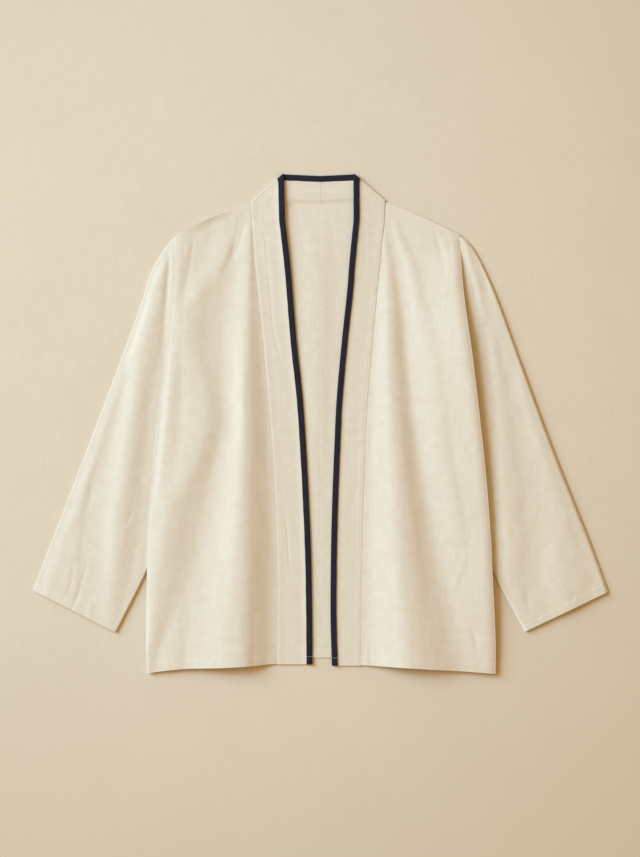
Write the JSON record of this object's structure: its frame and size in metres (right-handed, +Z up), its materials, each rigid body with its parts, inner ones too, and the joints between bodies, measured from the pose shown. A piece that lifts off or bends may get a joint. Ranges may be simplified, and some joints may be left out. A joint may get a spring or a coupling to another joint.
{
  "type": "kimono shirt",
  "caption": "Open-front kimono shirt laid out flat: plain fronts and back, long sleeves folded down beside the body, and a straight neckband bound in navy.",
  "frame": {"origin": "middle of the laid-out outline, on the surface that the shirt lies on", "axes": "+Z up from the surface, +Y from hem to neck, +X towards the wearer's left sleeve"},
  "size_m": [0.862, 0.751, 0.0114],
  "materials": {
    "shirt_cloth": "matte cream cotton-linen plain weave with fine slubs",
    "binding_cloth": "matte navy cotton bias binding"
  },
  "bodies": {
    "root": {"back": "shirt_cloth", "front_right": "shirt_cloth", "front_left": "shirt_cloth", "sleeve_right": "shirt_cloth", "sleeve_left": "shirt_cloth", "neckband_right": "shirt_cloth", "neckband_left": "shirt_cloth", "neck_binding": "binding_cloth"}
  },
  "joints": []
}
